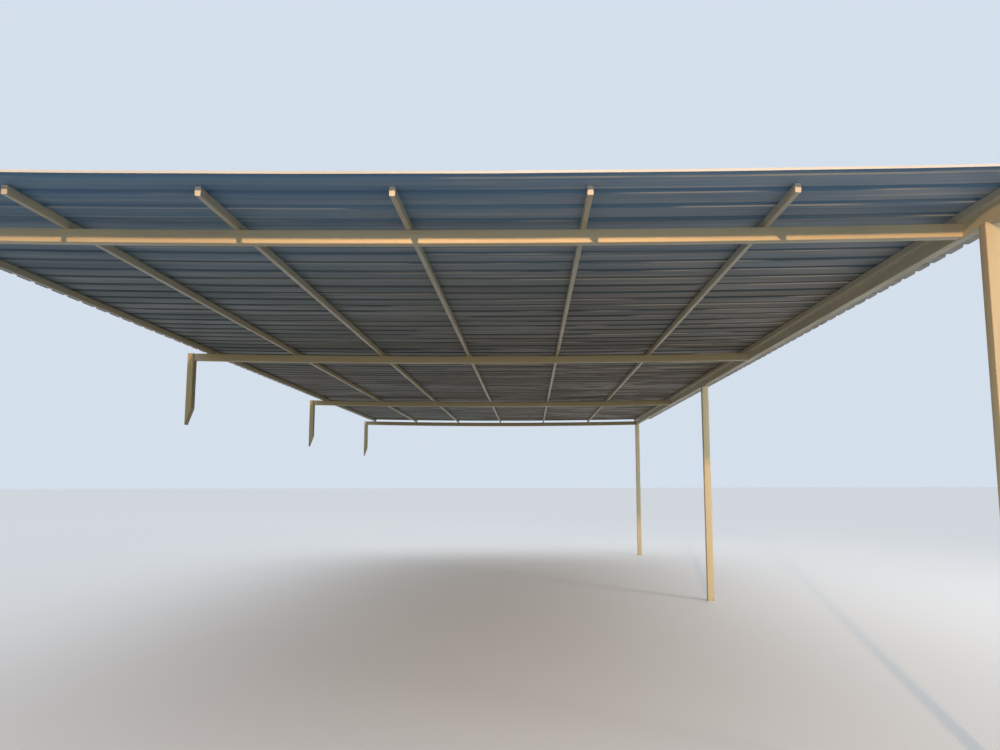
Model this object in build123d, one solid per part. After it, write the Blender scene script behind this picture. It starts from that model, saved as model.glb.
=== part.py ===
"""A lean-to carport of painted steel tube under profiled metal sheets.

One long side is fixed by stub brackets, and the other stands on three posts.
X runs away from the brackets, Y runs along the carport from its front end, and Z is up.
The origin is the centre of the middle post's foot.
"""
from build123d import *
from math import asin, cos, degrees, hypot, tan
import os

# Places along X, from the line of the posts
FIXING_FACE_DISTANCE = 6360.0
SHEET_SIDE_CLEARANCE = 78.0
SHEET_EAVES = 341.0
INNER_PURLIN_INSET = 245.0
PURLIN_SHARES = (0.0, 0.180, 0.352, 0.517, 0.679, 0.841, 1.0)

# Places along Y, from the middle post
FRONT_POST_DISTANCE = 6550.0
REAR_POST_DISTANCE = 6650.0
BEAM_PLACES = (-6320.0, -2193.0, 2440.0, 6714.0)
EDGE_BEAM_FRONT_OVERHANG = 470.0
PURLIN_FRONT_OVERHANG = 496.0
PURLIN_REAR_OVERHANG = 15.0
SHEET_FRONT_OVERHANG = 148.0

# Heights: the beams fall from the brackets to the posts, and sag between them
POST_HEIGHT = 2985.0
FALL = 14.0
SAG = 34.0

# Rectangular tubes: each outline and gauge, and the outer radius of their corners
POST_WIDTH = 90.0
POST_DEPTH = 65.0
POST_GAUGE = 3.0
BEAM_WIDTH = 60.0
BEAM_HEIGHT = 80.0
BEAM_GAUGE = 3.0
PURLIN_WIDTH = 30.0
PURLIN_HEIGHT = 50.0
PURLIN_GAUGE = 2.0
TUBE_CORNER = 5.0
FLAT_CORNER = 3.0
PLATE = 4.0

# Brackets: upright tubes with a long slanting cut at the foot
BRACKET_PROJECTION = 68.0
BRACKET_WIDTH = 90.0
BRACKET_BACK = 810.0
BRACKET_FACE = 620.0

# Profiled roof sheets
RIB_PITCH = 200.0
RIB_CREST = 30.0
RIB_FLANK = 16.0
RIB_HEIGHT = 20.0
SHEET_GAUGE = 0.6
SHEET_RIBS = 5
ROOF_RIBS = 68
TRIMMED_PAN = 88.0
EDGE_LIP = 12.0
LAP_CLEARANCE = 0.3
SEAT_CLEARANCE = 0.1

# The beams' tops lie on one shallow arc, seen along Y, that is bowed down like a hammock
BRACKET_OUTER_X = BRACKET_PROJECTION - FIXING_FACE_DISTANCE
EDGE_BEAM_INNER_X = -BEAM_WIDTH / 2
EDGE_BEAM_TOP = POST_HEIGHT + BEAM_HEIGHT
FRAME_FRONT = BEAM_PLACES[0] - BEAM_WIDTH / 2
FRAME_REAR = BEAM_PLACES[-1] + BEAM_WIDTH / 2
OUTER_PURLIN_X = EDGE_BEAM_INNER_X - PURLIN_WIDTH / 2
INNER_PURLIN_X = INNER_PURLIN_INSET - FIXING_FACE_DISTANCE
ARC_START = Vector(BRACKET_OUTER_X, 0, EDGE_BEAM_TOP + FALL)
ARC_END = Vector(EDGE_BEAM_INNER_X, 0, EDGE_BEAM_TOP)
CHORD = ARC_END - ARC_START
ARC_RADIUS = CHORD.length**2 / (8 * SAG) + SAG / 2
ARC_UP = Vector(-CHORD.Z, 0, CHORD.X).normalized()
ARC_CENTRE = (ARC_START + ARC_END) / 2 + ARC_UP * (ARC_RADIUS - SAG)


def arc_angle(x):
    """The slope of the arc at x, as an angle in radians."""
    return asin((x - ARC_CENTRE.X) / ARC_RADIUS)


def arc_height(x):
    """The height of the beams' tops at x."""
    return ARC_CENTRE.Z - ARC_RADIUS * cos(arc_angle(x))


def purlin_places():
    """The purlins' middles along X, from the brackets out to the one beside the edge beam."""
    places = [OUTER_PURLIN_X + share * (INNER_PURLIN_X - OUTER_PURLIN_X) for share in PURLIN_SHARES]
    return sorted(places)


def bend_line(x_from, x_to):
    """The beams' top line, seen along Y: straight and tangent to the arc at each purlin."""
    places = [(x, arc_height(x), tan(arc_angle(x))) for x in purlin_places()]
    x, z, slope = places[0]
    line = [(x_from, z + slope * (x_from - x))]
    for (x, z, slope), (next_x, next_z, next_slope) in zip(places, places[1:]):
        bend_x = (next_z - z + slope * x - next_slope * next_x) / (slope - next_slope)
        line.append((bend_x, z + slope * (bend_x - x)))
    line.append((x_to, next_z + next_slope * (x_to - next_x)))
    return line


def along_bend(section, x_from, x_to):
    """Carry a section along the bent line, mitred at its bends. It is drawn with Y to its right and Z up."""
    line = bend_line(x_from, x_to)
    path = Polyline(*[(x, 0, z) for x, z in line])
    start = Plane(origin=path @ 0, x_dir=(0, 1, 0), z_dir=path % 0)
    return sweep(start * section, path=path, transition=Transition.RIGHT)


def along_y(section, y_from, y_to):
    """Carry a section along Y. It is drawn with X to its right and Z up."""
    start = Plane(origin=(0, y_to, 0), x_dir=(1, 0, 0), z_dir=(0, -1, 0))
    return extrude(start * section, y_to - y_from)


def tube_section(width, height, gauge):
    """A rectangular tube's section: round corners outside, square ones inside."""
    outline = RectangleRounded(width, height, TUBE_CORNER)
    return outline - Rectangle(width - 2 * gauge, height - 2 * gauge)


def plate_section(width, height):
    """The outline of a plate that closes a tube: a rectangle with its corners cut off."""
    outline = Rectangle(width, height)
    return chamfer(outline.vertices(), FLAT_CORNER)


def sagging_tube_section(width, height, gauge):
    """The section of a tube that sags. Its corners are flat, so that it mitres cleanly where it bends."""
    return plate_section(width, height) - Rectangle(width - 2 * gauge, height - 2 * gauge)


def write(name, *solids):
    """Write one node."""
    node = Compound(children=list(solids))
    node.label = name
    export_step(node, f"parts/{name}.step")


def make_posts():
    """Three upright tubes, each with a plate that closes its foot."""
    places = {"front": -FRONT_POST_DISTANCE, "middle": 0.0, "rear": REAR_POST_DISTANCE}
    for name, y in places.items():
        foot = extrude(plate_section(POST_WIDTH, POST_DEPTH), PLATE)
        tube = extrude(tube_section(POST_WIDTH, POST_DEPTH, POST_GAUGE), POST_HEIGHT - PLATE)
        write(f"foot_plate_{name}", Pos(0, y, 0) * foot)
        write(f"post_{name}", Pos(0, y, PLATE) * tube)


def make_edge_beam():
    """The long tube on the posts, with a plate over each end."""
    front = FRAME_FRONT - EDGE_BEAM_FRONT_OVERHANG
    rear = FRAME_REAR
    middle = Pos(0, EDGE_BEAM_TOP - BEAM_HEIGHT / 2)
    section = middle * tube_section(BEAM_WIDTH, BEAM_HEIGHT, BEAM_GAUGE)
    outline = middle * plate_section(BEAM_WIDTH, BEAM_HEIGHT)
    write("edge_beam", along_y(section, front + PLATE, rear - PLATE))
    front_plate = along_y(outline, front, front + PLATE)
    rear_plate = along_y(outline, rear - PLATE, rear)
    write("edge_beam_end_plates", front_plate, rear_plate)


def make_cross_beams():
    """Tubes from the brackets to the edge beam, sagging, with ends cut upright to butt on both."""
    length = EDGE_BEAM_INNER_X - BRACKET_OUTER_X
    middle_x = (EDGE_BEAM_INNER_X + BRACKET_OUTER_X) / 2
    tallest = 2 * (BEAM_HEIGHT + SAG + FALL)
    for number, y in enumerate(BEAM_PLACES, start=1):
        section = Pos(y, -BEAM_HEIGHT / 2) * sagging_tube_section(BEAM_WIDTH, BEAM_HEIGHT, BEAM_GAUGE)
        bowed = along_bend(section, BRACKET_OUTER_X - BEAM_WIDTH, EDGE_BEAM_INNER_X + BEAM_WIDTH)
        between = Pos(middle_x, y, EDGE_BEAM_TOP) * Box(length, 2 * BEAM_WIDTH, tallest)
        write(f"cross_beam_{number}", bowed & between)


def slanting_band(top, bottom_back, bottom_face):
    """A bracket's side outline, from one height down to a slanting line."""
    corners = Polyline(
        (-FIXING_FACE_DISTANCE, top),
        (-FIXING_FACE_DISTANCE, bottom_back),
        (BRACKET_OUTER_X, bottom_face),
        (BRACKET_OUTER_X, top),
        close=True,
    )
    return make_face(corners)


def make_brackets():
    """Short upright tubes behind the beams, with a plate over the top and over the slanting foot."""
    top = EDGE_BEAM_TOP + FALL
    back = top - BRACKET_BACK
    face = top - BRACKET_FACE
    rise = PLATE * hypot(BRACKET_PROJECTION, face - back) / BRACKET_PROJECTION
    middle_x = BRACKET_OUTER_X - BRACKET_PROJECTION / 2
    for number, y in enumerate(BEAM_PLACES, start=1):
        sides = (y - BRACKET_WIDTH / 2, y + BRACKET_WIDTH / 2)
        whole = along_y(slanting_band(top, back, face), *sides)
        upright = Pos(middle_x, y, back)
        tube = upright * extrude(tube_section(BRACKET_PROJECTION, BRACKET_WIDTH, POST_GAUGE), BRACKET_BACK)
        closed = upright * extrude(plate_section(BRACKET_PROJECTION, BRACKET_WIDTH), BRACKET_BACK)
        between = along_y(slanting_band(top - PLATE, back + rise, face + rise), *sides)
        foot = closed & (whole - along_y(slanting_band(top, back + rise, face + rise), *sides))
        cap = closed & Pos(middle_x, y, top - PLATE / 2) * Box(BRACKET_PROJECTION, BRACKET_WIDTH, PLATE)
        write(f"side_bracket_{number}", tube & between)
        write(f"bracket_plates_{number}", foot, cap)


def make_purlins():
    """Small tubes on the beams, each leaning with the arc, with a plate over each end."""
    front = FRAME_FRONT - PURLIN_FRONT_OVERHANG
    rear = FRAME_REAR + PURLIN_REAR_OVERHANG
    middle = Pos(0, PURLIN_HEIGHT / 2)
    section = middle * tube_section(PURLIN_WIDTH, PURLIN_HEIGHT, PURLIN_GAUGE)
    outline = middle * plate_section(PURLIN_WIDTH, PURLIN_HEIGHT)
    front_plates = []
    rear_plates = []
    for number, x in enumerate(purlin_places(), start=1):
        seat = Pos(x, arc_height(x)) * Rot(0, 0, degrees(arc_angle(x)))
        write(f"purlin_{number}", along_y(seat * section, front + PLATE, rear - PLATE))
        front_plates.append(along_y(seat * outline, front, front + PLATE))
        rear_plates.append(along_y(seat * outline, rear - PLATE, rear))
    write("purlin_front_plates", *front_plates)
    write("purlin_rear_plates", *rear_plates)


def gauged(line, gauge):
    """The outline of a folded strip: an open line of points, and back along its mitred offset."""
    offset_line = []
    for index, point in enumerate(line):
        normals = []
        for start, end in zip(line[max(index - 1, 0):index + 1], line[max(index, 1):index + 2]):
            run = hypot(end[0] - start[0], end[1] - start[1])
            normals.append(((start[1] - end[1]) / run, (end[0] - start[0]) / run))
        sum_y = sum(normal[0] for normal in normals)
        sum_z = sum(normal[1] for normal in normals)
        reach = gauge * len(normals) / (sum_y**2 + sum_z**2)
        offset_line.append((point[0] + sum_y * reach, point[1] + sum_z * reach))
    return line + offset_line[::-1]


def sheet_line(start, ribs, is_last):
    """One sheet's underside across its ribs, from its raised front lip to its rear lip or trimmed pan."""
    lift = SHEET_GAUGE + LAP_CLEARANCE
    spread = lift * (hypot(RIB_FLANK, RIB_HEIGHT) - RIB_FLANK) / RIB_HEIGHT
    clear = lift * hypot(RIB_FLANK, RIB_HEIGHT) / RIB_HEIGHT
    lip_run = EDGE_LIP * RIB_FLANK / RIB_HEIGHT
    line = [
        (start - spread - lip_run, RIB_HEIGHT + lift - EDGE_LIP),
        (start - spread, RIB_HEIGHT + lift),
        (start + RIB_CREST + spread, RIB_HEIGHT + lift),
        (start + RIB_CREST + RIB_FLANK + clear, 0),
    ]
    for rib in range(1, ribs + 1):
        crest = start + rib * RIB_PITCH
        line += [(crest - RIB_FLANK, 0), (crest, RIB_HEIGHT), (crest + RIB_CREST, RIB_HEIGHT)]
        if rib < ribs or is_last:
            line.append((crest + RIB_CREST + RIB_FLANK, 0))
    if is_last:
        line.append((crest + RIB_CREST + RIB_FLANK + TRIMMED_PAN, 0))
    else:
        line.append((crest + RIB_CREST + lip_run, RIB_HEIGHT - EDGE_LIP))
    return line


def make_roof_sheets():
    """Profiled sheets with their ribs across the carport, each lapped over the last rib in front of it."""
    front = FRAME_FRONT - PURLIN_FRONT_OVERHANG - SHEET_FRONT_OVERHANG
    start = front + EDGE_LIP * RIB_FLANK / RIB_HEIGHT
    x_from = SHEET_SIDE_CLEARANCE - FIXING_FACE_DISTANCE
    ribs_left = ROOF_RIBS
    number = 1
    while ribs_left > 0:
        ribs = min(SHEET_RIBS, ribs_left)
        ribs_left -= ribs
        line = sheet_line(start, ribs, is_last=ribs_left == 0)
        outline = Polyline(*gauged(line, SHEET_GAUGE), close=True)
        section = Pos(0, PURLIN_HEIGHT + SEAT_CLEARANCE) * make_face(outline)
        write(f"roof_sheet_{number:02d}", along_bend(section, x_from, SHEET_EAVES))
        start += ribs * RIB_PITCH
        number += 1


os.makedirs("parts", exist_ok=True)
make_posts()
make_edge_beam()
make_cross_beams()
make_brackets()
make_purlins()
make_roof_sheets()
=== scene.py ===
from math import cos, radians, sin
import bpy
import numpy as np
from mathutils import Matrix, Vector


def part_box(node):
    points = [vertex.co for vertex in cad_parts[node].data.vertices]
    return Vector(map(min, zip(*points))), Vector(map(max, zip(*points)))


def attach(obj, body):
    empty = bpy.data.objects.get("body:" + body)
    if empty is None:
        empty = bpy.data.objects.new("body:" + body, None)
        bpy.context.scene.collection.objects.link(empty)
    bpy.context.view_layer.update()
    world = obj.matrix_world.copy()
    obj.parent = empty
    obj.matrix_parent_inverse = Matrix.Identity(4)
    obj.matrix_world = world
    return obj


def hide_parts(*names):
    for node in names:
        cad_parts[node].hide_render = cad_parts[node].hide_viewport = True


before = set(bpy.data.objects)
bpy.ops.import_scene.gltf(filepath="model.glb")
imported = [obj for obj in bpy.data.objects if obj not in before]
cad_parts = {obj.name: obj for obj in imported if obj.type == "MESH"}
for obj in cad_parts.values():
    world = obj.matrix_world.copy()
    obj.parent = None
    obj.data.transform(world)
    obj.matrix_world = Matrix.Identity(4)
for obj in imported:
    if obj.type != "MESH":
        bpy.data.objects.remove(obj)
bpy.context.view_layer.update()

# The viewpoint
# The photograph was taken from under the front end, a little left of the middle, looking along the roof
# and slightly up. The place and turn were solved from the frame's own lines.
IMAGE_WIDTH = 1000
FOCAL_PIXELS = 734.0
PRINCIPAL_POINT = (526.1, 401.3)
IMAGE_CENTRE = (500, 375)
SENSOR_WIDTH = 36.0
EYE = Vector((-2.490, -10.401, 1.588))
YAW = -0.00543
PITCH = 0.11372
ROLL = -0.00213

forward = Vector((sin(YAW) * cos(PITCH), cos(YAW) * cos(PITCH), sin(PITCH)))
level_right = Vector((cos(YAW), -sin(YAW), 0))
level_up = level_right.cross(forward)
right = level_right * cos(ROLL) + level_up * sin(ROLL)
up = level_up * cos(ROLL) - level_right * sin(ROLL)

lens = bpy.data.cameras.new("viewpoint")
lens.sensor_width = SENSOR_WIDTH
lens.lens = SENSOR_WIDTH * FOCAL_PIXELS / IMAGE_WIDTH
lens.shift_x = (IMAGE_CENTRE[0] - PRINCIPAL_POINT[0]) / IMAGE_WIDTH
lens.shift_y = (PRINCIPAL_POINT[1] - IMAGE_CENTRE[1]) / IMAGE_WIDTH
camera = bpy.data.objects.new("viewpoint", lens)
camera.matrix_world = Matrix.Translation(EYE) @ Matrix((right, up, -forward)).transposed().to_4x4()
bpy.context.scene.collection.objects.link(camera)
bpy.context.scene.camera = camera


# The studio
# A plain pale floor under a dome of light that is dimmer towards the horizon, and three soft lamps: a low
# and a high one in front, and one on the open side. The camera and mirror rays see the background's colour.
FLOOR_REACH = 400.0
FLOOR_ROUGHNESS = 0.9
FLOOR_COLOUR = (0.72, 0.735, 0.75, 1)
FLOOR_BOUNCE = (0.25, 0.27, 0.275, 1)
BACKGROUND_COLOUR = (0.66, 0.74, 0.84, 1)
DOME_COLOUR = (0.92, 0.96, 1.0, 1)
HORIZON_STRENGTH = 0.24
OVERHEAD_STRENGTH = 1.05
OVERHEAD_FROM = 0.6
LOW_LAMP_COLOUR = (1.0, 0.88, 0.72)
HIGH_LAMP_COLOUR = (1.0, 0.58, 0.28)
SIDE_LAMP_COLOUR = (1.0, 0.93, 0.82)
# The Mix node's sockets for colours, which share their names with its other ones.
MIX_SHARE, MIX_FIRST, MIX_SECOND = 0, 6, 7
MIX_RESULT = 2


def plain_material(name, colour, roughness):
    """A plain even material."""
    material = bpy.data.materials.new(name)
    material.use_nodes = True
    shader = material.node_tree.nodes["Principled BSDF"]
    shader.inputs["Base Color"].default_value = colour
    shader.inputs["Roughness"].default_value = roughness
    return material


def soft_lamp(name, place, target, side, power, colour, beam_width):
    """A square lamp, turned towards its target. Its side is in metres, its power in watts and the width of
    its beam in degrees."""
    data = bpy.data.lights.new(name, "AREA")
    data.size = side
    data.energy = power
    data.color = colour
    data.spread = radians(beam_width)
    lamp = bpy.data.objects.new(name, data)
    lamp.location = place
    lamp.rotation_euler = (Vector(target) - Vector(place)).to_track_quat("-Z", "Y").to_euler()
    bpy.context.scene.collection.objects.link(lamp)


corners = [(-FLOOR_REACH, -FLOOR_REACH, 0), (FLOOR_REACH, -FLOOR_REACH, 0)]
corners += [(FLOOR_REACH, FLOOR_REACH, 0), (-FLOOR_REACH, FLOOR_REACH, 0)]
floor_mesh = bpy.data.meshes.new("floor")
floor_mesh.from_pydata(corners, [], [(0, 1, 2, 3)])
floor_paint = plain_material("floor_paint", FLOOR_COLOUR, FLOOR_ROUGHNESS)
nodes, links = floor_paint.node_tree.nodes, floor_paint.node_tree.links
seen_by = nodes.new("ShaderNodeLightPath")
bounce = nodes.new("ShaderNodeMix")
bounce.data_type = "RGBA"
bounce.inputs[MIX_FIRST].default_value = FLOOR_COLOUR
bounce.inputs[MIX_SECOND].default_value = FLOOR_BOUNCE
links.new(seen_by.outputs["Is Diffuse Ray"], bounce.inputs[MIX_SHARE])
links.new(bounce.outputs[MIX_RESULT], nodes["Principled BSDF"].inputs["Base Color"])
floor_mesh.materials.append(floor_paint)
floor = bpy.data.objects.new("floor", floor_mesh)
bpy.context.scene.collection.objects.link(floor)

soft_lamp("low_lamp", place=(-3.5, -22.0, 1.5), target=(-3.0, -2.0, 3.0),
          side=5.0, power=110, colour=LOW_LAMP_COLOUR, beam_width=120)
soft_lamp("high_lamp", place=(-4.9, -27.0, 6.4), target=(-2.0, -6.3, 3.0),
          side=0.5, power=320, colour=HIGH_LAMP_COLOUR, beam_width=52)
soft_lamp("side_lamp", place=(17.0, -17.0, 8.0), target=(0.0, 3.0, 1.5),
          side=6.0, power=315, colour=SIDE_LAMP_COLOUR, beam_width=50)

world = bpy.data.worlds.new("studio")
bpy.context.scene.world = world
world.use_nodes = True
tree = world.node_tree
dome = tree.nodes["Background"]
dome.inputs["Color"].default_value = DOME_COLOUR
direction = tree.nodes.new("ShaderNodeTexCoord")
height = tree.nodes.new("ShaderNodeSeparateXYZ")
brightness = tree.nodes.new("ShaderNodeMapRange")
brightness.inputs["From Min"].default_value = 0.0
brightness.inputs["From Max"].default_value = OVERHEAD_FROM
brightness.inputs["To Min"].default_value = HORIZON_STRENGTH
brightness.inputs["To Max"].default_value = OVERHEAD_STRENGTH
tree.links.new(direction.outputs["Generated"], height.inputs[0])
tree.links.new(height.outputs["Z"], brightness.inputs["Value"])
tree.links.new(brightness.outputs[0], dome.inputs["Strength"])
backdrop = tree.nodes.new("ShaderNodeBackground")
backdrop.inputs["Color"].default_value = BACKGROUND_COLOUR
path = tree.nodes.new("ShaderNodeLightPath")
mirrored = tree.nodes.new("ShaderNodeMath")
mirrored.operation = "ADD"
tree.links.new(path.outputs["Is Glossy Ray"], mirrored.inputs[0])
tree.links.new(path.outputs["Is Transmission Ray"], mirrored.inputs[1])
seen = tree.nodes.new("ShaderNodeMath")
seen.operation = "ADD"
seen.use_clamp = True
tree.links.new(path.outputs["Is Camera Ray"], seen.inputs[0])
tree.links.new(mirrored.outputs[0], seen.inputs[1])
choice = tree.nodes.new("ShaderNodeMixShader")
tree.links.new(seen.outputs[0], choice.inputs[0])
tree.links.new(dome.outputs[0], choice.inputs[1])
tree.links.new(backdrop.outputs[0], choice.inputs[2])
tree.links.new(choice.outputs[0], tree.nodes["World Output"].inputs["Surface"])
bpy.context.scene.view_settings.view_transform = "Standard"


# The posts
# Three upright tubes, brush-painted cream after they were welded up, with dust and splashes on the lowest
# part, near foot level. Each foot is closed by a plate of the same steel.
CREAM = (0.66, 0.58, 0.39, 1)
POST_CREAM = (0.52, 0.455, 0.285, 1)
CREAM_SHADE = (0.52, 0.45, 0.30, 1)
DUST = (0.36, 0.31, 0.24, 1)
BARE_RUST = (0.16, 0.06, 0.025, 1)
POST_PLACES = ("front", "middle", "rear")
TUBE_CORNER = 0.005
CORNER_STEPS = 6
SPLASH_HEIGHT = 0.45
SPLASH_STRENGTH = 0.55
FOOT_LINE = 0.03
FOOT_RUST_STRENGTH = 0.45
CLOUD_TO_GRAIN = 12
SMOOTH_ANGLE = 40
TUBE_ANGLE = 12


def coordinates(material):
    """The Object coordinates' socket of a material."""
    nodes = material.node_tree.nodes
    found = nodes.get("place") or nodes.new("ShaderNodeTexCoord")
    found.name = "place"
    return found.outputs["Object"]


def noise(material, scale, stretch=(1, 1, 1), detail=3.0):
    """Cloudy noise from 0 to 1, with lumps of about 1/scale metres that are drawn out by stretch."""
    nodes, links = material.node_tree.nodes, material.node_tree.links
    mapping = nodes.new("ShaderNodeMapping")
    mapping.inputs["Scale"].default_value = [1 / s for s in stretch]
    texture = nodes.new("ShaderNodeTexNoise")
    texture.inputs["Scale"].default_value = scale
    texture.inputs["Detail"].default_value = detail
    links.new(coordinates(material), mapping.inputs["Vector"])
    links.new(mapping.outputs[0], texture.inputs["Vector"])
    return texture.outputs["Fac"]


def spread(material, socket, low, high, to_low=0.0, to_high=1.0):
    """Maps a socket's values from low and high to the two given ends, and no further."""
    node = material.node_tree.nodes.new("ShaderNodeMapRange")
    node.inputs["From Min"].default_value = low
    node.inputs["From Max"].default_value = high
    node.inputs["To Min"].default_value = to_low
    node.inputs["To Max"].default_value = to_high
    material.node_tree.links.new(socket, node.inputs["Value"])
    return node.outputs["Result"]


def metres(material, axis):
    """The place along axis X, Y or Z of the object."""
    split = material.node_tree.nodes.new("ShaderNodeSeparateXYZ")
    material.node_tree.links.new(coordinates(material), split.inputs[0])
    return split.outputs[axis]


def along(material, axis, low, high, to_low=0.0, to_high=1.0):
    """From to_low at low to to_high at high, along axis X, Y or Z of the object."""
    return spread(material, metres(material, axis), low, high, to_low, to_high)


def both(material, first, second, operation="MULTIPLY"):
    """The product of two sockets, or another operation on them. The second may be a number."""
    node = material.node_tree.nodes.new("ShaderNodeMath")
    node.operation = operation
    material.node_tree.links.new(first, node.inputs[0])
    if isinstance(second, (int, float)):
        node.inputs[1].default_value = second
    else:
        material.node_tree.links.new(second, node.inputs[1])
    return node.outputs[0]


def lay_over(material, colour, mask, blend="MIX"):
    """Lays a colour over the material's own where the mask is 1, or multiplies its own by it."""
    nodes, links = material.node_tree.nodes, material.node_tree.links
    base = nodes["Principled BSDF"].inputs["Base Color"]
    mix = nodes.new("ShaderNodeMix")
    mix.data_type = "RGBA"
    mix.blend_type = blend
    if base.links:
        links.new(base.links[0].from_socket, mix.inputs[MIX_FIRST])
    else:
        mix.inputs[MIX_FIRST].default_value = base.default_value
    mix.inputs[MIX_SECOND].default_value = colour
    links.new(mask, mix.inputs[MIX_SHARE])
    links.new(mix.outputs[MIX_RESULT], base)


def skin(material, roughness, grain, depth, stretch=(1, 1, 1)):
    """Clouds of gloss between two roughness values, and fine bumps of a depth, grain of them to a metre."""
    nodes, links = material.node_tree.nodes, material.node_tree.links
    shader = nodes["Principled BSDF"]
    cloud = noise(material, grain / CLOUD_TO_GRAIN, stretch)
    links.new(spread(material, cloud, 0.35, 0.65, *roughness), shader.inputs["Roughness"])
    bump = nodes.new("ShaderNodeBump")
    bump.inputs["Distance"].default_value = depth
    links.new(noise(material, grain, stretch), bump.inputs["Height"])
    links.new(bump.outputs[0], shader.inputs["Normal"])


def cream_paint(name, run, colour=CREAM):
    """Brushed cream gloss on tube: clouds of thinner coat, and dirt drawn out by run along the tube."""
    material = bpy.data.materials.new(name)
    material.use_nodes = True
    material.node_tree.nodes["Principled BSDF"].inputs["Base Color"].default_value = colour
    thin_coat = noise(material, 5, run)
    lay_over(material, CREAM_SHADE, spread(material, thin_coat, 0.42, 0.68, to_high=0.7))
    dirt = noise(material, 22, run, detail=6)
    lay_over(material, DUST, spread(material, dirt, 0.58, 0.85, to_high=0.45))
    skin(material, roughness=(0.34, 0.52), grain=160, depth=0.0006, stretch=run)
    return material


def dress(node, material):
    """Gives a node the material."""
    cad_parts[node].data.materials.clear()
    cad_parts[node].data.materials.append(material)


def rounded_section(width, height, radius):
    """Points once round a rectangle centred on nought, whose corners are quarter circles of the radius.
    Each point is its corner circle's centre plus the radius times (cos a, sin a)."""
    angles = (np.arange(4)[:, None] + np.linspace(0, 1, CORNER_STEPS)[None, :]) * np.pi / 2
    signs = np.array([(1, 1), (-1, 1), (-1, -1), (1, -1)])[:, None, :]
    centres = signs * (np.array([width, height]) / 2 - radius)
    return (centres + radius * np.stack([np.cos(angles), np.sin(angles)], axis=-1)).reshape(-1, 2)


def ring_quads(rings, sides):
    """Quads between neighbouring rings of points that are numbered ring by ring. They face outwards where
    the points run anticlockwise, as seen from the last ring."""
    row, column = np.meshgrid(np.arange(rings - 1), np.arange(sides), indexing="ij")
    beside = (column + 1) % sides
    near, far = row * sides, (row + 1) * sides
    return np.stack([near + column, near + beside, far + beside, far + column], axis=-1).reshape(-1, 4)


def carried(section, centres, across, upward):
    """A section carried through the centres: each point is the centre plus the section's first number
    times across plus its second times upward. The cross product of across and upward points the way that
    the centres go."""
    centres = np.array(centres, dtype=float)
    rings = centres[:, None, :] + section[:, :1] * np.array(across, dtype=float)
    rings = rings + section[:, 1:] * np.array(upward, dtype=float)
    count, stations = len(section), len(centres)
    last = (stations - 1) * count
    caps = [list(range(count - 1, -1, -1)), list(range(last, last + count))]
    return rings.reshape(-1, 3).tolist(), ring_quads(stations, count).tolist() + caps


def add_piece(name, points, faces, material, slot, smooth_angle=SMOOTH_ANGLE):
    """Makes a mesh piece that rides on the frame, smooth where its faces turn by less than an angle."""
    mesh = bpy.data.meshes.new(name)
    mesh.from_pydata(points, [], faces)
    mesh.materials.append(material)
    mesh.shade_smooth()
    mesh.set_sharp_from_angle(angle=radians(smooth_angle))
    piece = bpy.data.objects.new(name, mesh)
    bpy.context.scene.collection.objects.link(piece)
    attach(piece, "root")
    return piece


post_paint = cream_paint("post_paint", (1, 1, 5), POST_CREAM)
splash = spread(post_paint, noise(post_paint, 30), 0.35, 0.7)
splash_fade = along(post_paint, "Z", 0, SPLASH_HEIGHT, SPLASH_STRENGTH, 0)
lay_over(post_paint, DUST, both(post_paint, splash, splash_fade))
foot_rust = spread(post_paint, noise(post_paint, 60), 0.4, 0.6)
foot_fade = along(post_paint, "Z", 0, FOOT_LINE, FOOT_RUST_STRENGTH, 0)
lay_over(post_paint, BARE_RUST, both(post_paint, foot_rust, foot_fade))
for place in POST_PLACES:
    low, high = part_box(f"post_{place}")
    section = rounded_section(high.x - low.x, high.y - low.y, TUBE_CORNER)
    middle = (low + high) / 2
    ends = [(middle.x, middle.y, low.z), (middle.x, middle.y, high.z)]
    shape = carried(section, ends, (1, 0, 0), (0, 1, 0))
    tube = add_piece(f"post_tube_{place}", *shape, post_paint, "post_paint", TUBE_ANGLE)
    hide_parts(f"post_{place}")
    dress(f"foot_plate_{place}", post_paint)


# The beams
# The edge beam on the posts and the four cross beams, of the same painted tube. The cross beams sag in a
# parabola through the purlins' seats. They were welded on after a first coat, and each joint touched up.
BEAM_NUMBERS = range(1, 5)
PURLIN_NUMBERS = range(1, 8)
BEAM_WIDTH = 0.060
BEAM_HEIGHT = 0.080
BEAM_STATIONS = 49
TOUCHED_UP = (0.60, 0.50, 0.34, 1)
PAINTED_WARM_BOUNCE = (0.62, 0.48, 0.25, 1)
PAINTED_WARM_BOUNCE_FADE = (-6.2, -2.5)
PATCH_REACH = 0.16

edge_paint = cream_paint("edge_beam_paint", (1, 8, 1))
cross_paint = cream_paint("cross_beam_paint", (8, 1, 1))
# Behind the front beam the cream is painted yellower, as painted warm bounce light.
lay_over(cross_paint, PAINTED_WARM_BOUNCE, along(cross_paint, "Y", *PAINTED_WARM_BOUNCE_FADE, to_high=0.8))
beam_low, beam_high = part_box("cross_beam_1")
outer_end = along(cross_paint, "X", beam_high.x - PATCH_REACH, beam_high.x)
bracket_end = along(cross_paint, "X", beam_low.x + PATCH_REACH, beam_low.x)
ends = both(cross_paint, outer_end, bracket_end, "MAXIMUM")
ragged = both(cross_paint, ends, noise(cross_paint, 25), "ADD")
lay_over(cross_paint, TOUCHED_UP, spread(cross_paint, ragged, 0.85, 1.0, to_high=0.8))

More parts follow.
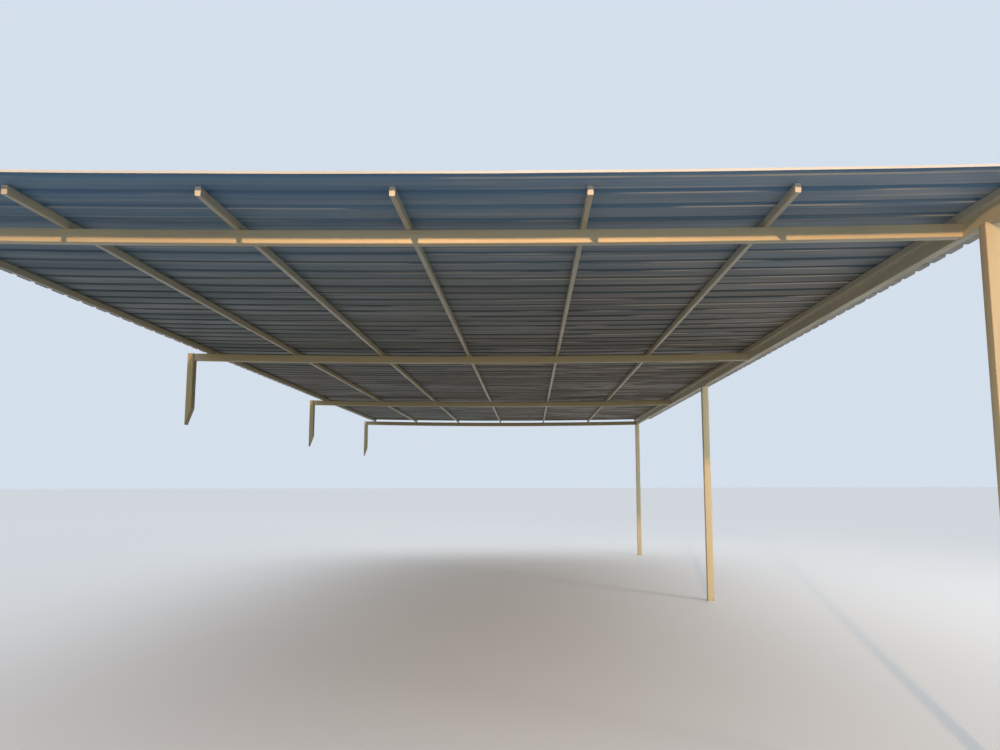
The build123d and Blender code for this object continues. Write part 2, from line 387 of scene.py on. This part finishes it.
low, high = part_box("edge_beam")
beam_section = rounded_section(BEAM_WIDTH, BEAM_HEIGHT, TUBE_CORNER)
ends = [((low.x + high.x) / 2, y, (low.z + high.z) / 2) for y in (high.y, low.y)]
shape = carried(beam_section, ends, (1, 0, 0), (0, 0, 1))
tube = add_piece("edge_beam_tube", *shape, edge_paint, "beam_paint", TUBE_ANGLE)
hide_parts("edge_beam")
dress("edge_beam_end_plates", edge_paint)

purlin_boxes = [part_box(f"purlin_{number}") for number in PURLIN_NUMBERS]
purlin_x = np.array([(low.x + high.x) / 2 for low, high in purlin_boxes])
beam_line = np.polyfit(purlin_x, [low.z for low, _ in purlin_boxes], 2)
for number in BEAM_NUMBERS:
    low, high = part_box(f"cross_beam_{number}")
    x = np.linspace(low.x, high.x, BEAM_STATIONS)
    y = np.full_like(x, (low.y + high.y) / 2)
    centres = np.stack([x, y, np.polyval(beam_line, x) - BEAM_HEIGHT / 2], axis=-1)
    shape = carried(beam_section, centres, (0, 1, 0), (0, 0, 1))
    tube = add_piece(f"cross_beam_tube_{number}", *shape, cross_paint, "beam_paint", TUBE_ANGLE)
    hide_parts(f"cross_beam_{number}")


# The side brackets
# Upright stubs of tube, each cut to a long slant at the foot and closed there with a plate. They were
# painted in place with the rest, and water that ran off the plates has left thin marks. Their cream is
# darkened and browned into painted shade.
BRACKET_CREAM_IN_PAINTED_SHADE = (0.50, 0.38, 0.16, 1)

bracket_paint = cream_paint("bracket_paint", (1, 1, 6), BRACKET_CREAM_IN_PAINTED_SHADE)
bracket_low, bracket_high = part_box("side_bracket_1")
run_marks = spread(bracket_paint, noise(bracket_paint, 45, (1, 1, 14)), 0.5, 0.75, to_high=0.6)
downward = along(bracket_paint, "Z", bracket_high.z, bracket_low.z)
lay_over(bracket_paint, DUST, both(bracket_paint, run_marks, downward))
for number in BEAM_NUMBERS:
    dress(f"side_bracket_{number}", bracket_paint)
    dress(f"bracket_plates_{number}", bracket_paint)


# The purlins
# Seven small tubes along the roof, with a plate welded over each end. Their cream is greyed in clouds,
# as painted shade.
PURLIN_WIDTH = 0.030
PURLIN_HEIGHT = 0.050
PURLIN_CREAM_PAINTED_SHADE = (0.55, 0.50, 0.38, 1)
PAINTED_LIGHT_PLATE_CREAM = (0.70, 0.68, 0.62, 1)

purlin_paint = cream_paint("purlin_paint", (1, 10, 1))
lay_over(purlin_paint, PURLIN_CREAM_PAINTED_SHADE, spread(purlin_paint, noise(purlin_paint, 3, (1, 10, 1)), 0.2, 0.5))
# Towards the rear the purlins are painted yellower, as painted warm bounce light.
lay_over(purlin_paint, PAINTED_WARM_BOUNCE, along(purlin_paint, "Y", *PAINTED_WARM_BOUNCE_FADE, to_high=0.6))
purlin_section = rounded_section(PURLIN_WIDTH, PURLIN_HEIGHT, TUBE_CORNER)
for number, x, (low, high) in zip(PURLIN_NUMBERS, purlin_x, purlin_boxes):
    lean = np.arctan(np.polyval(np.polyder(beam_line), x))
    across = np.array((np.cos(lean), 0, np.sin(lean)))
    upward = np.array((-np.sin(lean), 0, np.cos(lean)))
    middle = np.array((x, 0, np.polyval(beam_line, x))) + upward * PURLIN_HEIGHT / 2
    ends = [middle + (0, y, 0) for y in (high.y, low.y)]
    shape = carried(purlin_section, ends, across, upward)
    tube = add_piece(f"purlin_tube_{number}", *shape, purlin_paint, "purlin_paint", TUBE_ANGLE)
    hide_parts(f"purlin_{number}")
# The front end plates are paler than the rear ones: a painted highlight of the low light that reaches them.
lit_plate_paint = cream_paint("lit_plate_paint", (1, 1, 1), PAINTED_LIGHT_PLATE_CREAM)
dress("purlin_front_plates", lit_plate_paint)
dress("purlin_rear_plates", purlin_paint)


# The weld beads
# Every joint of the frame is a fillet of weld metal laid by hand and painted over: short runs each side of
# a purlin on each beam, runs down and under each end of a cross beam, and runs over each post.
BEAD_RADIUS = 0.0032
BEAD_SIDES = 8
RIPPLE_PITCH = 0.0035
RIPPLE_DEPTH = 0.16
RINGS_A_RIPPLE = 4
FEWEST_RINGS = 8
WANDER_RANGE = (0.85, 1.2)
WANDER_STEPS = 9
TAPER_POWER = 8
NEARLY_UPRIGHT = 0.9
CROSSING_INSET = 0.006
BUTT_INSET = 0.004


def bead(start, end, seed):
    """The rings of points round one run of weld from start to end. Their radius is BEAD_RADIUS times one
    plus RIPPLE_DEPTH times a sine of the way along over RIPPLE_PITCH. It falls to nothing at both ends,
    as the square root of one minus the share of the way out from the middle, raised to TAPER_POWER."""
    start, end = np.array(start), np.array(end)
    length = np.linalg.norm(end - start)
    stations = max(FEWEST_RINGS, int(length / RIPPLE_PITCH * RINGS_A_RIPPLE))
    share = np.linspace(0, 1, stations)[1:-1]
    sizes = np.random.default_rng(seed).uniform(*WANDER_RANGE, WANDER_STEPS)
    wander = np.interp(share, np.linspace(0, 1, WANDER_STEPS), sizes)
    ripple = 1 + RIPPLE_DEPTH * np.sin(2 * np.pi * share * length / RIPPLE_PITCH)
    taper = np.sqrt(1 - (2 * share - 1) ** TAPER_POWER)
    radius = BEAD_RADIUS * ripple * wander * taper
    way = (end - start) / length
    side = np.cross(way, (0, 0, 1) if abs(way[2]) < NEARLY_UPRIGHT else (1, 0, 0))
    side /= np.linalg.norm(side)
    lift = np.cross(side, way)
    turn = np.arange(BEAD_SIDES) * 2 * np.pi / BEAD_SIDES
    ring = np.outer(np.cos(turn), side) + np.outer(np.sin(turn), lift)
    middle = start + np.outer(share, end - start)
    return middle[:, None, :] + radius[:, None, None] * ring[None, :, :]


def tube_faces(count, sides, first):
    """Quads between neighbouring rings and a fan to a pole at each end, for rings numbered from first,
    followed by the start pole and the end pole."""
    quads = ring_quads(count, sides) + first
    spokes = np.arange(sides)
    last = (count - 1) * sides
    start_pole = np.full(sides, count * sides)
    start_fan = np.stack([start_pole, (spokes + 1) % sides, spokes], axis=-1) + first
    end_fan = np.stack([start_pole + 1, last + spokes, last + (spokes + 1) % sides], axis=-1) + first
    return quads.tolist() + start_fan.tolist() + end_fan.tolist()


def weld_piece(name, runs):
    """One piece of many beads. Each run is a pair of points."""
    points, faces = [], []
    for seed, (start, end) in enumerate(runs):
        rings = bead(start, end, seed)
        faces += tube_faces(len(rings), BEAD_SIDES, len(points))
        points += rings.reshape(-1, 3).tolist() + [start, end]
    add_piece(name, points, faces, weld_paint, "beam_paint")


weld_paint = cream_paint("weld_paint", (1, 1, 1))
lay_over(weld_paint, TOUCHED_UP, spread(weld_paint, noise(weld_paint, 80), 0.45, 0.6, to_high=0.8))
pitting = noise(weld_paint, 140, detail=6)
lay_over(weld_paint, BARE_RUST, spread(weld_paint, pitting, 0.64, 0.72, to_high=0.7))

crossing_runs = []
for purlin_low, purlin_high in purlin_boxes:
    for number in BEAM_NUMBERS:
        low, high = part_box(f"cross_beam_{number}")
        for x in (purlin_low.x, purlin_high.x):
            start = (x, low.y + CROSSING_INSET, purlin_low.z)
            crossing_runs.append((start, (x, high.y - CROSSING_INSET, purlin_low.z)))
weld_piece("purlin_welds", crossing_runs)

butt_runs = []
edge_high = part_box("edge_beam")[1]
for number in BEAM_NUMBERS:
    low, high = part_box(f"cross_beam_{number}")
    for x, top in ((low.x, high.z), (high.x, edge_high.z)):
        near, foot = top - BUTT_INSET, top - BEAM_HEIGHT
        corners = [(x, low.y, near), (x, low.y, foot), (x, high.y, foot), (x, high.y, near)]
        butt_runs += list(zip(corners, corners[1:]))
for place in POST_PLACES:
    low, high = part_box(f"post_{place}")
    for y in (low.y, high.y):
        butt_runs.append(((-edge_high.x, y, high.z), (edge_high.x, y, high.z)))
weld_piece("butt_welds", butt_runs)


# The roof sheets
# Coated steel sheets rolled to a trapezium profile, pale on the weather side, with a backing coat beneath
# that is painted with reflections and shade. They bend to the purlins, and each one's front rib laps over
# the last rib of the one before.
SHEET_NUMBERS = range(1, 15)
SHEET_RIBS = 5
LAST_SHEET_RIBS = 3
RIB_PITCH = 0.200
RIB_CREST = 0.030
RIB_FLANK = 0.016
RIB_HEIGHT = 0.0196
EDGE_LIP = 0.012
FRONT_LIP = 0.0185
TRIMMED_PAN = 0.088
FRONT_TRIM = 0.0008
SWAGE_SHARES = (0.33, 0.67)
SWAGE_CREST = 0.006
SWAGE_FLANK = 0.005
SWAGE_HEIGHT = 0.0011
SHEET_GAUGE = 0.0006
LAP_LIFT = 0.0009
BEND_RADIUS = 0.003
BEND_STEPS = 4
SHEET_STATIONS = 49
HANG_DEPTH = 0.0014
HANG_RANGE = (0.1, 1.0)
END_TRIM_RANGE = (0.001, 0.006)
UPPER_COAT = (0.64, 0.64, 0.60, 1)
BACKING_PAINTED_SKY_REFLECTION = (0.190, 0.340, 0.520, 1)
BACKING_PAINTED_SHADE = (0.110, 0.145, 0.155, 1)
BACKING_PAINTED_DEEP_SHADE = (0.058, 0.054, 0.031, 1)
PAINTED_OPEN_SIDE_LIGHT = (0.52, 0.50, 0.45, 1)
OPEN_SIDE_LIGHT_FADE = (0.0, 0.06)
DULLED = (0.86, 0.85, 0.83, 1)
POOL_INNER_FADE = (-5.6, -3.2)
POOL_OUTER_FADE = (-0.6, -3.0)
SKY_REFLECTION_FADE = (-7.0, -5.0)
DEEP_SHADE_FADE = (-5.0, -0.5)
PAINTED_DARK_REFLECTION = (0.74, 0.80, 0.87, 1)
PAINTED_PALE_REFLECTION = (1.9, 1.45, 1.2, 1)
PAINTED_PAN_SHEEN = (1.9, 1.34, 1.10, 1)
PAN_SHEEN_FADE = (-4.2, -1.0)
PAINTED_FOLD_GLINT = (0.95, 0.80, 0.66, 1)
FOLD_GLINT_FADE = (-5.5, -0.8)
FOLD_REACH = 0.0045
BACKING_SPECULAR = 0.3

roof_line = np.polyfit(purlin_x, [high.z for _, high in purlin_boxes], 2)
front_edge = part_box("roof_sheet_01")[0].y
first_crest = front_edge + EDGE_LIP * RIB_FLANK / RIB_HEIGHT


def folds(front, lip, ribs, is_last):
    """The underside's fold points (y, z) of one sheet above the purlins, from its front lip to its rear
    edge. Each pan has two shallow swages that stiffen it."""
    slant = RIB_FLANK / RIB_HEIGHT
    crest = front + EDGE_LIP * slant
    line = [
        (front, RIB_HEIGHT + LAP_LIFT - lip),
        (crest, RIB_HEIGHT + LAP_LIFT),
        (crest + RIB_CREST, RIB_HEIGHT + LAP_LIFT),
        (crest + RIB_CREST + RIB_FLANK + LAP_LIFT, 0),
    ]
    pan = RIB_PITCH - RIB_CREST - 2 * RIB_FLANK
    for rib in range(1, ribs + 1):
        y = crest + rib * RIB_PITCH
        for share in SWAGE_SHARES:
            swage = y - RIB_FLANK - pan + share * pan - SWAGE_CREST / 2
            line += [(swage - SWAGE_FLANK, 0), (swage, SWAGE_HEIGHT)]
            line += [(swage + SWAGE_CREST, SWAGE_HEIGHT), (swage + SWAGE_CREST + SWAGE_FLANK, 0)]
        line += [(y - RIB_FLANK, 0), (y, RIB_HEIGHT), (y + RIB_CREST, RIB_HEIGHT)]
        if rib < ribs or is_last:
            line.append((y + RIB_CREST + RIB_FLANK, 0))
    if is_last:
        line.append((y + RIB_CREST + RIB_FLANK + TRIMMED_PAN, 0))
    else:
        line.append((y + RIB_CREST + EDGE_LIP * slant, RIB_HEIGHT - EDGE_LIP))
    return np.array(line)


def rounded(line):
    """Replaces each inner fold point P between A and B by a curve: (1-t)^2 P' + 2t(1-t) P + t^2 P'',
    where P' and P'' lie BEND_RADIUS, or at most a third of the stretch, from P towards A and B."""
    before, fold, after = line[:-2], line[1:-1], line[2:]
    length_before = np.linalg.norm(before - fold, axis=1)[:, None]
    length_after = np.linalg.norm(after - fold, axis=1)[:, None]
    start = fold + (before - fold) / length_before * np.minimum(BEND_RADIUS, length_before / 3)
    end = fold + (after - fold) / length_after * np.minimum(BEND_RADIUS, length_after / 3)
    t = np.linspace(0, 1, BEND_STEPS)[None, :, None]
    curve = (1 - t) ** 2 * start[:, None] + 2 * t * (1 - t) * fold[:, None] + t**2 * end[:, None]
    return np.vstack([line[:1], curve.reshape(-1, 2), line[-1:]])


def offset_up(line, gauge):
    """The line moved up by gauge, along the mean normal of the stretches either side of each point."""
    run = np.diff(line, axis=0)
    normal = np.stack([-run[:, 1], run[:, 0]], axis=1) / np.linalg.norm(run, axis=1)[:, None]
    mean = np.vstack([normal[:1], normal[:-1] + normal[1:], normal[-1:]])
    return line + gauge * mean / np.linalg.norm(mean, axis=1)[:, None]


def sheet_shell(line, x_from, x_to, seed):
    """The sheet's closed shell: its outline, the line and its offset, carried from one x to the other.
    At x it lies on the roof line, a parabola through the purlins' tops, less up to HANG_DEPTH times the
    square of the sine of pi times the count of bays passed. It is held at each purlin and hangs a little
    between them."""
    under = rounded(line)
    outline = np.vstack([under, offset_up(under, SHEET_GAUGE)[::-1]])
    x = np.linspace(x_from, x_to, SHEET_STATIONS)
    purlins_passed = np.arange(len(purlin_x))
    bays = np.interp(x, purlin_x, purlins_passed)
    hangs = np.random.default_rng(seed).uniform(*HANG_RANGE, len(purlin_x))
    hang = HANG_DEPTH * np.interp(bays, purlins_passed, hangs) * np.sin(np.pi * bays) ** 2
    base = np.polyval(roof_line, x) - hang
    count = len(outline)
    points = np.empty((SHEET_STATIONS, count, 3))
    points[:, :, 0] = x[:, None]
    points[:, :, 1] = outline[None, :, 0]
    points[:, :, 2] = base[:, None] + outline[None, :, 1]
    quads = ring_quads(SHEET_STATIONS, count)[:, ::-1]
    step = np.arange(count // 2 - 1)
    near_end = np.stack([step, step + 1, count - 2 - step, count - 1 - step], axis=-1)
    far_end = near_end[:, ::-1] + (SHEET_STATIONS - 1) * count
    return points.reshape(-1, 3).tolist(), np.vstack([quads, near_end, far_end]).tolist()


# Beneath, the backing coat is painted with light: a blue sky reflection at the front that turns to olive
# painted shade towards the rear, with painted reflection streaks across the carport.
sheet_coat = bpy.data.materials.new("sheet_coat")
sheet_coat.use_nodes = True
sheet_shader = sheet_coat.node_tree.nodes["Principled BSDF"]
sheet_shader.inputs["Base Color"].default_value = BACKING_PAINTED_SKY_REFLECTION
lay_over(sheet_coat, BACKING_PAINTED_SHADE, along(sheet_coat, "Y", *SKY_REFLECTION_FADE))
lay_over(sheet_coat, BACKING_PAINTED_DEEP_SHADE, along(sheet_coat, "Y", *DEEP_SHADE_FADE))
# Wide dark bands and fine pale lines drawn out along X are painted reflections.
dark_reflection_bands = noise(sheet_coat, 7, (40, 1, 1), detail=2)
dark_reflection_bands = spread(sheet_coat, dark_reflection_bands, 0.36, 0.52, to_low=1, to_high=0)
lay_over(sheet_coat, PAINTED_DARK_REFLECTION, dark_reflection_bands, "MULTIPLY")
pale_reflection_lines = spread(sheet_coat, noise(sheet_coat, 24, (50, 1, 1), detail=2), 0.5, 0.64)
cloudy = noise(sheet_coat, 0.9, (1.5, 1, 1), detail=2)
cloudy = spread(sheet_coat, cloudy, 0.38, 0.62, to_low=0.15)
lay_over(sheet_coat, PAINTED_PALE_REFLECTION, both(sheet_coat, pale_reflection_lines, cloudy), "MULTIPLY")

# The pans carry clouds of painted sheen that grow towards the open side, the folds beside them a broken
# painted glint, and beyond the edge beam the underside is painted paler by the light from the open side.
normal = sheet_coat.node_tree.nodes.new("ShaderNodeNewGeometry")
facing = sheet_coat.node_tree.nodes.new("ShaderNodeSeparateXYZ")
sheet_coat.node_tree.links.new(normal.outputs["True Normal"], facing.inputs[0])
pan_share = spread(sheet_coat, facing.outputs["Y"], -0.5, -0.1)
pan_sheen = noise(sheet_coat, 1.2, (1, 0.5, 1))
pan_sheen = both(sheet_coat, spread(sheet_coat, pan_sheen, 0.35, 0.6, to_low=0.35), pan_share)
pan_sheen = both(sheet_coat, pan_sheen, along(sheet_coat, "X", *PAN_SHEEN_FADE))
lay_over(sheet_coat, PAINTED_PAN_SHEEN, pan_sheen, "MULTIPLY")
# A thin painted highlight runs along each fold from a rear flank to the next pan.
past_fold = both(sheet_coat, metres(sheet_coat, "Y"), -(first_crest + RIB_CREST + RIB_FLANK), "ADD")
fold_gap = both(sheet_coat, past_fold, RIB_PITCH / 2, "PINGPONG")
near_fold = spread(sheet_coat, fold_gap, FOLD_REACH, FOLD_REACH / 2)
broken_line = spread(sheet_coat, noise(sheet_coat, 6, (8, 1, 1), detail=2), 0.5, 0.58)
fold_glint = both(sheet_coat, near_fold, broken_line)
fold_glint = both(sheet_coat, fold_glint, along(sheet_coat, "X", *FOLD_GLINT_FADE, to_low=0.15, to_high=0.9))
lay_over(sheet_coat, PAINTED_FOLD_GLINT, fold_glint)
# Beyond the edge beam the underside is painted paler, as painted light from the open side.
open_side_light = spread(sheet_coat, noise(sheet_coat, 12, (2, 1, 1)), 0.3, 0.6, to_low=0.5)
open_side_light = both(sheet_coat, open_side_light, along(sheet_coat, "X", *OPEN_SIDE_LIGHT_FADE))
lay_over(sheet_coat, PAINTED_OPEN_SIDE_LIGHT, open_side_light)

# Above, each sheet's pale coat has dulled to its own tone, and dirt has pooled where the roof dips.
weather_side = spread(sheet_coat, facing.outputs["Z"], -0.01, 0.01)
lay_over(sheet_coat, UPPER_COAT, weather_side)
past_front = both(sheet_coat, metres(sheet_coat, "Y"), -front_edge, "ADD")
sheets_passed = both(sheet_coat, past_front, 1 / (SHEET_RIBS * RIB_PITCH))
own_tone = sheet_coat.node_tree.nodes.new("ShaderNodeTexWhiteNoise")
own_tone.noise_dimensions = "1D"
sheet_coat.node_tree.links.new(both(sheet_coat, sheets_passed, 0, "FLOOR"), own_tone.inputs["W"])
lay_over(sheet_coat, DULLED, both(sheet_coat, own_tone.outputs["Value"], weather_side), "MULTIPLY")
inner_fade = along(sheet_coat, "X", *POOL_INNER_FADE)
dipping = both(sheet_coat, inner_fade, along(sheet_coat, "X", *POOL_OUTER_FADE), "MINIMUM")
pooled = noise(sheet_coat, 1.6, (3, 1, 1), detail=5)
pooled = both(sheet_coat, spread(sheet_coat, pooled, 0.42, 0.7, to_high=0.55), dipping)
lay_over(sheet_coat, DUST, both(sheet_coat, pooled, weather_side))
washed = noise(sheet_coat, 3, (6, 1, 1), detail=5)
washed = spread(sheet_coat, washed, 0.5, 0.8, to_high=0.35)
lay_over(sheet_coat, DUST, both(sheet_coat, washed, weather_side))
skin(sheet_coat, roughness=(0.42, 0.60), grain=60, depth=0.0004, stretch=(8, 1, 1))
sheet_shader.inputs["Specular IOR Level"].default_value = BACKING_SPECULAR

for number in SHEET_NUMBERS:
    node = f"roof_sheet_{number:02d}"
    low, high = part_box(node)
    is_last = number == SHEET_NUMBERS[-1]
    ribs = LAST_SHEET_RIBS if is_last else SHEET_RIBS
    trims = np.random.default_rng(number).uniform(*END_TRIM_RANGE, 2)
    lip = FRONT_LIP if number == SHEET_NUMBERS[0] else EDGE_LIP
    line = folds(low.y + FRONT_TRIM, lip, ribs, is_last)
    points, faces = sheet_shell(line, low.x + trims[0], high.x - trims[1], number)
    sheet = add_piece(f"profiled_sheet_{number:02d}", points, faces, sheet_coat, "roof_sheet")
    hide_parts(node)


# The roof screws
# Self-drilling hexagon screws of plated steel, each with a pressed flange over a dark rubber washer. One
# is driven through every pan of every sheet into each purlin.
HEX_RADIUS = 0.0046
HEX_HEIGHT = 0.0046
HEX_BEVEL = 0.0006
HEX_TOP_SHARE = 0.84
FLANGE_RADIUS = 0.0075
FLANGE_HEIGHT = 0.0011
FLANGE_TOP_SHARE = 0.97
FLANGE_RISE = 1.3
WASHER_RADIUS = 0.0085
WASHER_HEIGHT = 0.0020
WASHER_FOOT_SHARE = 0.96
WASHER_TOP_SHARE = 0.93
WASHER_SUNK = 0.0002
HEX_TURN = np.pi / 3
SCREW_SIDES = 12
SCREW_WANDER = 0.004
SCREW_SEED = 5
SCREW_ANGLE = 30
ZINC = (0.58, 0.57, 0.55, 1)
ZINC_METALLIC = 0.8
RUBBER = (0.03, 0.03, 0.032, 1)
RUBBER_ROUGHNESS = 0.7


def turned(rings, hexagon_from):
    """A closed stack of rings, given as (radius, height) from the foot up, of SCREW_SIDES points each. From
    hexagon_from on a ring is six-sided: its radius is divided by the cosine of the angle to the nearest
    flat."""
    turn = np.arange(SCREW_SIDES) * 2 * np.pi / SCREW_SIDES
    to_flat = np.abs((turn + HEX_TURN / 2) % HEX_TURN - HEX_TURN / 2)
    radius, height = np.array(rings).T[:, :, None] * np.ones(SCREW_SIDES)
    radius[hexagon_from:] /= np.cos(to_flat)
    points = np.stack([radius * np.cos(turn), radius * np.sin(turn), height], axis=-1).reshape(-1, 3)
    foot_and_top = np.array([range(SCREW_SIDES)[::-1], range(len(points) - SCREW_SIDES, len(points))])
    return points, ring_quads(len(rings), SCREW_SIDES), foot_and_top


def screw_places():
    """Where the screws stand, the middle of each pan on each purlin and a few millimetres off line, and
    how far each is turned."""
    draws = np.random.default_rng(SCREW_SEED)
    pan_middle = first_crest + (RIB_PITCH + RIB_CREST) / 2
    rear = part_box("roof_sheet_14")[1].y
    x, y = [grid.ravel() for grid in np.meshgrid(purlin_x, np.arange(pan_middle, rear, RIB_PITCH))]
    x = x + draws.uniform(-SCREW_WANDER, SCREW_WANDER, len(x))
    y = y + draws.uniform(-SCREW_WANDER, SCREW_WANDER, len(y))
    z = np.polyval(roof_line, x) + SHEET_GAUGE
    return np.stack([x, y, z], axis=-1), draws.uniform(0, HEX_TURN, len(x))


def scattered(points, quads, caps, places, turns):
    """Copies of a small shape: its points turned about Z by each angle, then moved to each place."""
    cosine, sine = np.cos(turns)[:, None], np.sin(turns)[:, None]
    moved = np.stack([
        points[:, 0] * cosine - points[:, 1] * sine,
        points[:, 0] * sine + points[:, 1] * cosine,
        points[:, 2] * np.ones_like(cosine),
    ], axis=-1) + places[:, None, :]
    firsts = (np.arange(len(places)) * len(points))[:, None, None]
    faces = (quads + firsts).reshape(-1, 4).tolist() + (caps + firsts).reshape(-1, SCREW_SIDES).tolist()
    return moved.reshape(-1, 3).tolist(), faces


zinc = bpy.data.materials.new("zinc_plating")
zinc.use_nodes = True
zinc_shader = zinc.node_tree.nodes["Principled BSDF"]
zinc_shader.inputs["Base Color"].default_value = ZINC
zinc_shader.inputs["Metallic"].default_value = ZINC_METALLIC
lay_over(zinc, BARE_RUST, spread(zinc, noise(zinc, 300), 0.58, 0.72, to_high=0.8))
lay_over(zinc, DUST, spread(zinc, noise(zinc, 120), 0.45, 0.7, to_high=0.6))
skin(zinc, roughness=(0.3, 0.55), grain=900, depth=0.0002)
rubber = plain_material("rubber_washer", RUBBER, RUBBER_ROUGHNESS)
lay_over(rubber, DUST, spread(rubber, noise(rubber, 200), 0.4, 0.7, to_high=0.7))
skin(rubber, roughness=(0.6, 0.8), grain=1200, depth=0.0002)

places, turns = screw_places()
head_rings = [
    (FLANGE_RADIUS, WASHER_HEIGHT),
    (FLANGE_RADIUS * FLANGE_TOP_SHARE, WASHER_HEIGHT + FLANGE_HEIGHT),
    (HEX_RADIUS, WASHER_HEIGHT + FLANGE_HEIGHT * FLANGE_RISE),
    (HEX_RADIUS, WASHER_HEIGHT + HEX_HEIGHT - HEX_BEVEL),
    (HEX_RADIUS * HEX_TOP_SHARE, WASHER_HEIGHT + HEX_HEIGHT),
]
heads = scattered(*turned(head_rings, hexagon_from=2), places, turns)
add_piece("roof_screw_heads", *heads, zinc, "roof_sheet", SCREW_ANGLE)
washer_rings = [
    (WASHER_RADIUS * WASHER_FOOT_SHARE, -WASHER_SUNK),
    (WASHER_RADIUS, WASHER_HEIGHT / 2),
    (WASHER_RADIUS * WASHER_TOP_SHARE, WASHER_HEIGHT),
]
washers = scattered(*turned(washer_rings, hexagon_from=len(washer_rings)), places, turns)
add_piece("roof_screw_washers", *washers, rubber, "roof_sheet", SCREW_ANGLE)
